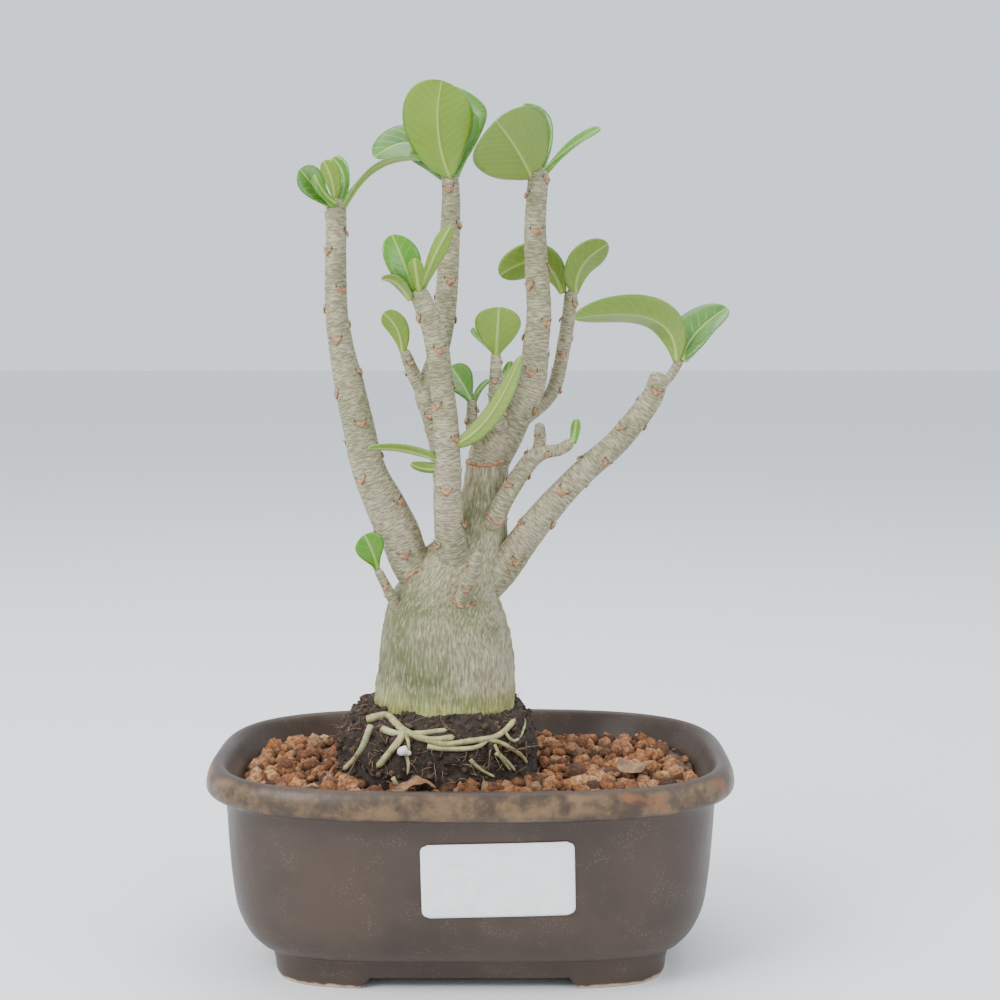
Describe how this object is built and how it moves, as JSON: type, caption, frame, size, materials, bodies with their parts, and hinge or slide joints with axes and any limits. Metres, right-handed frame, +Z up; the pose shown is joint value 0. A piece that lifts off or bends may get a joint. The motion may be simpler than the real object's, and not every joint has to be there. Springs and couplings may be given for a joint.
{
  "type": "potted desert rose adenium",
  "caption": "Young desert rose with a swollen caudex, upright grey branches and small leathery leaves, in an oval glazed bonsai pot on corner feet.",
  "frame": {"origin": "on the ground under the middle of the pot", "axes": "+Z up, -Y towards the pot's front, +X along the pot's length to the right as seen from the front"},
  "size_m": [0.1464, 0.1026, 0.2438],
  "materials": {
    "glaze": "satin speckled stoneware glaze, grey brown, ochre on the lip",
    "peat": "damp dark peat with fibres",
    "granules": "coarse orange brown crumbs, matt",
    "bark": "pale beige bark with green mottling and fine wrinkles",
    "root_skin": "cream green smooth root skin",
    "leaf": "leathery leaf, glossy bright green above, paler olive below",
    "label": "plain white paper label with rounded corners"
  },
  "bodies": {
    "root": {"back_branch": "bark", "back_leaf_1": "leaf", "back_leaf_2": "leaf", "back_leaf_3": "leaf", "back_leaf_4": "leaf", "basal_leaf": "leaf", "basal_twig": "bark", "blank_label": "label", "bonsai_pot": "glaze", "caudex": "bark", "front_branch": "bark", "front_leaf_1": "leaf", "front_leaf_2": "leaf", "front_leaf_3": "leaf", "front_leaf_4": "leaf", "front_twig": "bark", "granule_bed": "granules", "knuckle_leaf": "leaf", "knuckle_twig": "bark", "left_branch": "bark", "left_leaf_1": "leaf", "left_leaf_2": "leaf", "left_leaf_3": "leaf", "left_leaf_4": "leaf", "left_leaf_5": "leaf", "long_leaf": "leaf", "low_branch": "bark", "low_leaf": "leaf", "low_stub": "bark", "middle_branch": "bark", "middle_leaf_1": "leaf", "middle_leaf_2": "leaf", "middle_leaf_3": "leaf", "rear_branch": "bark", "rear_leaf_1": "leaf", "rear_leaf_2": "leaf", "right_branch": "bark", "right_leaf_1": "leaf", "right_leaf_2": "leaf", "right_shoot": "bark", "root_ball": "peat", "short_leaf_1": "leaf", "short_leaf_2": "leaf", "short_twig": "bark", "side_leaf_1": "leaf", "side_leaf_2": "leaf", "surface_root_1": "root_skin", "surface_root_2": "root_skin", "surface_root_3": "root_skin", "surface_root_4": "root_skin", "surface_root_5": "root_skin", "surface_root_6": "root_skin", "twig_leaf_1": "leaf", "twig_leaf_2": "leaf", "twig_leaf_3": "leaf", "upright_twig": "bark"}
  },
  "joints": []
}
